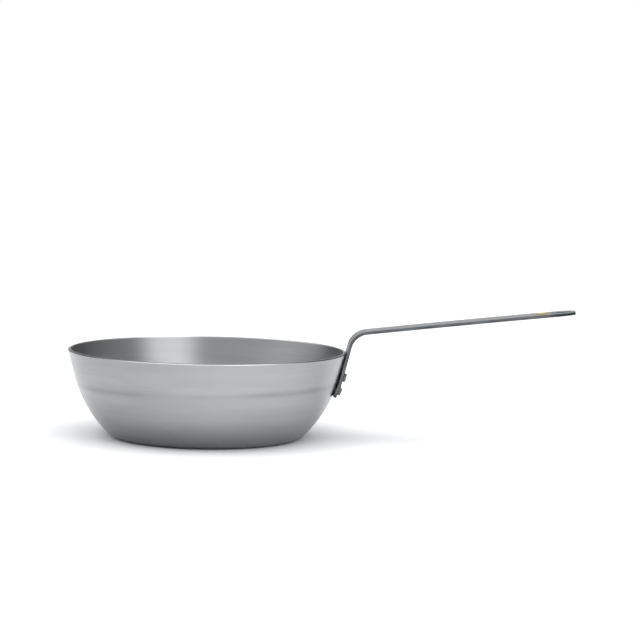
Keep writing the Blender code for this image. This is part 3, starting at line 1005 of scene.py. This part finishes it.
def yellow_resin():
    """Resin with yellow pigment, moulded: soft gloss over a cloudy, slightly uneven tint."""
    material, tree, shader = new_material("yellow_resin_moulded")
    place = node(tree, "TexCoord")["Object"]
    clouds = node(tree, "TexNoise", {"Vector": place, "Scale": 1 / CLOUD_SIZE, "Detail": 3})[0]
    amount = node(tree, "MapRange", (clouds, 0.35, 0.65, 0, 1))[0]
    tones = {0: amount, 6: linear("#ab9853"), 7: linear("#c6b576")}
    bump = {"Strength": 1.0, "Distance": CLOUD_BUMP, "Height": clouds}
    finish = {
        "Base Color": node(tree, "Mix", tones, data_type="RGBA")[2],
        "Roughness": node(tree, "MapRange", (clouds, 0.3, 0.7, 0.32, 0.48))[0],
        "Normal": node(tree, "Bump", bump)[0],
    }
    fill(tree, shader, finish)
    return material


YELLOW_RESIN = yellow_resin()
print("resin has", len(YELLOW_RESIN.node_tree.nodes), "nodes")

# %% Inlay
FLANGE_RADIUS = 6.2 * MM
FLANGE = 0.5 * MM
FACE_CROWN = 0.1 * MM
RING_OUTER = (5.1 * MM, 4.9 * MM)
RING_INNER = (4.6 * MM, 4.4 * MM)
RING_DEPTH = 0.2 * MM
INLAY_EASE = 0.16 * MM
INLAY_SEGMENTS = 96


def inlay():
    """A plug turned from (radius, height), height 0 on the arm's top face."""
    top, under = GAP + FLANGE, -(STRAP + GAP + FLANGE)
    lip = top - FACE_CROWN / 2
    profile = [
        (0, under),
        (FLANGE_RADIUS, under + FACE_CROWN),
        (FLANGE_RADIUS, -STRAP),
        (INLAY_HOLE, -STRAP),
        (INLAY_HOLE, -STRAP / 2),
        (INLAY_HOLE, 0.0),
        (FLANGE_RADIUS, 0.0),
        (FLANGE_RADIUS, top - FACE_CROWN),
        (RING_OUTER[0], lip),
        (RING_OUTER[1], top - RING_DEPTH),
        (RING_INNER[0], top - RING_DEPTH),
        (RING_INNER[1], lip),
        (0, top),
    ]
    x, z, angle = (float(np.interp(INLAY_AT, PATH[0], row)) for row in PATH[1:4])
    seat = Matrix.Translation((x, 0, z)) @ Matrix.Rotation(-angle, 4, "Y")
    grid = turned(eased(profile, INLAY_EASE, 3), INLAY_SEGMENTS)
    made = piece_from_grids("yellow_inlay", [seated(grid, seat)], YELLOW_RESIN)
    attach(made, "root")
    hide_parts("handle_inlay")


inlay()

# %% [markdown]
# ## Floor, light and camera
# Bare steel shows little but what is round it, so the light matters as much as the material. The
# floor is white paper and evenly lit. Most of the light comes from a world shader made of soft
# lobes: a pale room that is darker low down, a broad lamp overhead, a key softbox in front to the
# right, and weaker ones in front, at both sides and behind. Area lamps could do it, but a world
# shines the same on every part and renders with less noise. One small area lamp adds a pool of
# light on the floor in front of the pan, which the steel reflects.

# %% Floor
FLOOR_HALF = 12.0
FLOOR_DROP = 0.1 * MM
TOOTH_SIZE = 40 * MM


def floor_material():
    """White sweep paper, rolled: matt, with a faint tooth."""
    material, tree, shader = new_material("white_paper_rolled")
    place = node(tree, "TexCoord")["Object"]
    tooth = node(tree, "TexNoise", {"Vector": place, "Scale": 1 / TOOTH_SIZE, "Detail": 2})[0]
    tones = {0: tooth, 6: linear("#f4f5f6"), 7: linear("#f7f8f9")}
    colour = node(tree, "Mix", tones, data_type="RGBA")[2]
    fill(tree, shader, {"Base Color": colour, "Roughness": 0.9, "Specular IOR Level": 0.1})
    return material


corner = FLOOR_HALF * np.array([[-1, -1, 0], [1, -1, 0], [1, 1, 0], [-1, 1, 0]])
floor_mesh = bpy.data.meshes.new("floor")
floor_mesh.from_pydata(corner - np.array([0, 0, FLOOR_DROP]), [], [(0, 1, 2, 3)])
floor_mesh.materials.append(floor_material())
floor = bpy.data.objects.new("floor", floor_mesh)
bpy.context.scene.collection.objects.link(floor)
floor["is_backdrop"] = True
print("floor is", 2 * FLOOR_HALF, "m wide")

# %% Studio light
# Each lamp: direction it stands in (degrees to the right of the camera's side, degrees up), the
# half-angles where it is full and where it ends, and its brightness
LAMPS = {
    "overhead": ((0, 90), 12, 46, 0.575),
    "overhead_core": ((0, 90), 6, 34, 1.38),
    "key": ((40, 26), 6, 32, 1.27),
    "key_core": ((40, 26), 3, 20, 0.75),
    "front": ((-12, 31), 12, 46, 0.431),
    "fill": ((-88, 28), 12, 50, 0.575),
    "left": ((-90, 55), 10, 36, 0.938),
    "right": ((90, 55), 10, 36, 1.02),
    "back": ((180, 8), 6, 24, 0.512),
}
# Brightness of the room and of its low part, in front and behind. The one fades into the other
# between two heights of the direction looked in, where 0 is level and 1 is straight up.
ROOM = 0.454
LOW_FRONT = 0.0375
LOW_BACK = 0.0813
LOW_ENDS = (0.06, 0.34)


def lamp_direction(right, up):
    """Unit vector for an angle to the right of straight in front (-Y) and an angle up."""
    right, up = math.radians(right), math.radians(up)
    return (math.sin(right) * math.cos(up), -math.cos(right) * math.cos(up), math.sin(up))


def studio_world():
    """Brightness by direction: the room, darker low down, plus each lamp as a soft-edged disc.

    Only what the camera sees directly is plain white.
    """
    world = bpy.data.worlds.new("studio")
    world.use_nodes = True
    tree = world.node_tree
    toward = node(tree, "TexCoord")["Generated"]
    _, behind, height = node(tree, "SeparateXYZ", (toward,))
    low = node(tree, "MapRange", (behind, 0.0, 0.6, LOW_FRONT, LOW_BACK))[0]
    rise = (height, *LOW_ENDS, 0.0, 1.0)
    raised = node(tree, "MapRange", rise, interpolation_type="SMOOTHSTEP")[0]
    total = node(tree, "Mix", {0: raised, 2: low, 3: ROOM}, data_type="FLOAT")[0]
    for (right, up), full, end, brightness in LAMPS.values():
        aim = (toward, lamp_direction(right, up))
        nearness = node(tree, "VectorMath", aim, operation="DOT_PRODUCT")["Value"]
        edges = (math.cos(math.radians(end)), math.cos(math.radians(full)))
        disc = (nearness, *edges, 0.0, brightness)
        lobe = node(tree, "MapRange", disc, interpolation_type="SMOOTHSTEP")[0]
        total = node(tree, "Math", (total, lobe), operation="ADD")[0]
    seen = node(tree, "LightPath")["Is Camera Ray"]
    strength = node(tree, "Mix", {0: seen, 2: total, 3: 1.0}, data_type="FLOAT")[0]
    fill(tree, tree.nodes["Background"], {"Color": (1.0, 1.0, 1.0, 1.0), "Strength": strength})
    print("studio has", len(LAMPS), "soft lamps and a room of brightness", ROOM)
    return world


bpy.context.scene.world = studio_world()

# %% Pool of light in front
POOL_PLACE = Vector((220, -500, 450)) * MM
POOL_AIM = Vector((80, -240, 0)) * MM
POOL_SIZE = 250 * MM
POOL_POWER = 0.15

pool_data = bpy.data.lights.new("pool_lamp", "AREA")
pool_data.shape = "DISK"
pool_data.size = POOL_SIZE
pool_data.energy = POOL_POWER
pool = bpy.data.objects.new("pool_lamp", pool_data)
pool.location = POOL_PLACE
pool.rotation_mode = "QUATERNION"
pool.rotation_quaternion = (POOL_PLACE - POOL_AIM).to_track_quat("Z", "Y")
bpy.context.scene.collection.objects.link(pool)
bpy.context.scene.view_settings.view_transform = "Standard"
print("pool lamp is", round((POOL_PLACE - POOL_AIM).length / MM), "mm from the floor it lights")

# %% [markdown]
# ## Camera
# A long lens from two metres away keeps the bowl's rim a slim, undistorted ellipse. The camera looks
# down by five degrees, so it sees over the near rim to the far inside wall, and the handle runs
# across the picture. It could be tracked to the pan with a constraint, but three turns in a row say
# exactly where it looks.

# %% Camera
CAMERA_PLACE = Vector((43.505, -2023.192, 296.96)) * MM
HEADING = math.radians(1.964)
DOWNWARD = math.radians(5.010)
ROLL = math.radians(1.229)
LENS = 113.275

camera_data = bpy.data.cameras.new("camera")
camera_data.lens = LENS
camera_data.sensor_width = 36.0
camera_data.clip_start = 0.05
camera_data.clip_end = 100.0
camera = bpy.data.objects.new("camera", camera_data)
turning = (
    Matrix.Rotation(-HEADING, 4, "Z")
    @ Matrix.Rotation(math.pi / 2 - DOWNWARD, 4, "X")
    @ Matrix.Rotation(ROLL, 4, "Z")
)
camera.matrix_world = Matrix.Translation(CAMERA_PLACE) @ turning
bpy.context.scene.collection.objects.link(camera)
bpy.context.scene.camera = camera
print("camera looks along", [round(-v, 3) for v in turning.col[2][:3]])

# %% Sizes and the end
bpy.context.view_layer.update()
boxes = {
    "cad": [list(corner) for corner in CAD_BOX],
    "visual": [list(corner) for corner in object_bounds()],
}
for label, (low, high) in boxes.items():
    print(label, [round(v / MM, 2) for v in low], [round(v / MM, 2) for v in high])
